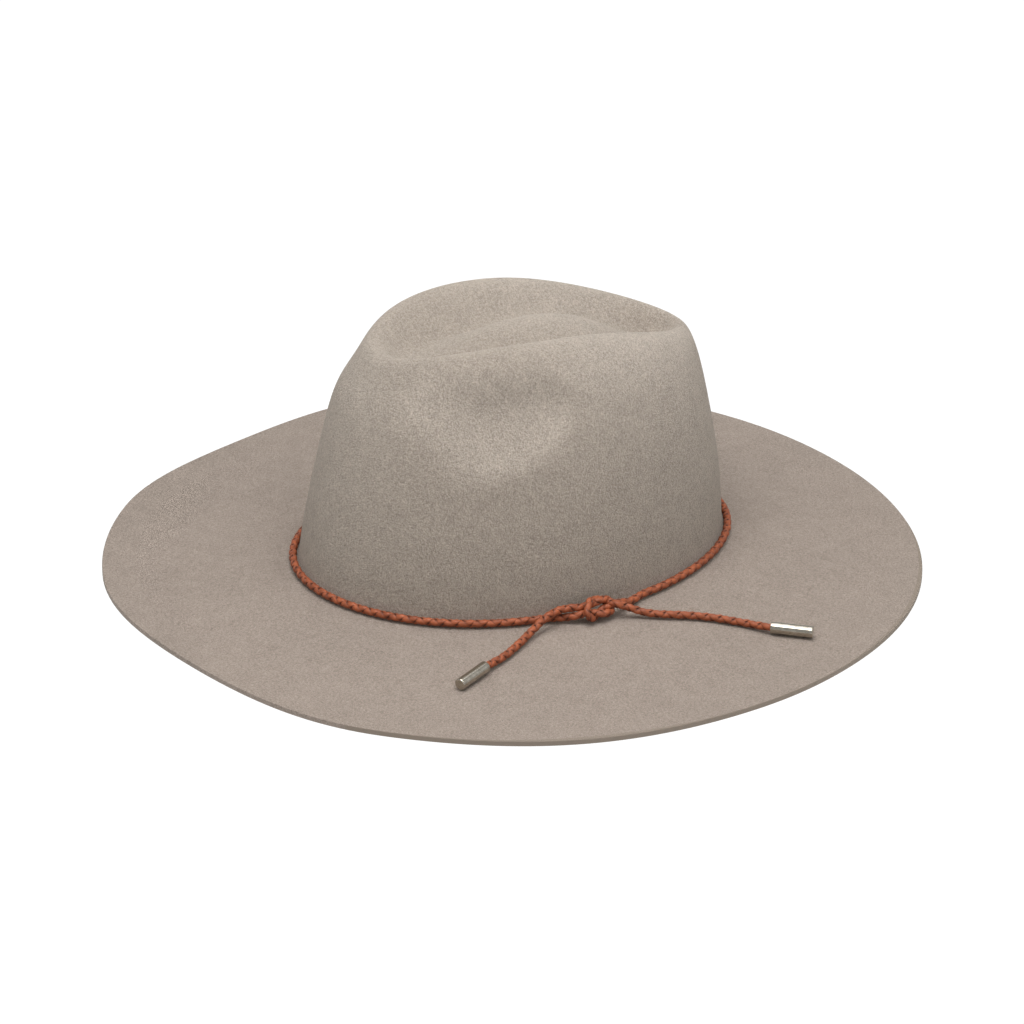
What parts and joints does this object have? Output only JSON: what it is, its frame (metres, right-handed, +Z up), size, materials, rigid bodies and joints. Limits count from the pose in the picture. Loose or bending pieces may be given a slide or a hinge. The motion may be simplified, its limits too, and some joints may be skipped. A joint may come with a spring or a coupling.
{
  "type": "wide-brim felt hat",
  "caption": "Wide-brimmed felt hat with a creased and pinched crown and a thin braided leather cord round it, knotted at one side, with metal-tipped ends.",
  "frame": {"origin": "on the surface that the brim lies on, under the middle of the brim", "axes": "+Z up through the crown, -Y towards the front of the hat, +X towards the wearer's left, where the cord is knotted"},
  "size_m": [0.3871, 0.3823, 0.1248],
  "materials": {
    "felt": "brushed wool felt, greige",
    "leather": "round braid, rust brown",
    "tip_metal": "polished silver colour"
  },
  "bodies": {
    "root": {"felt_body": "felt", "band_cord": "leather", "knot": "leather", "tail_front": "leather", "tail_back": "leather", "tip_front": "tip_metal", "tip_back": "tip_metal"}
  },
  "joints": []
}
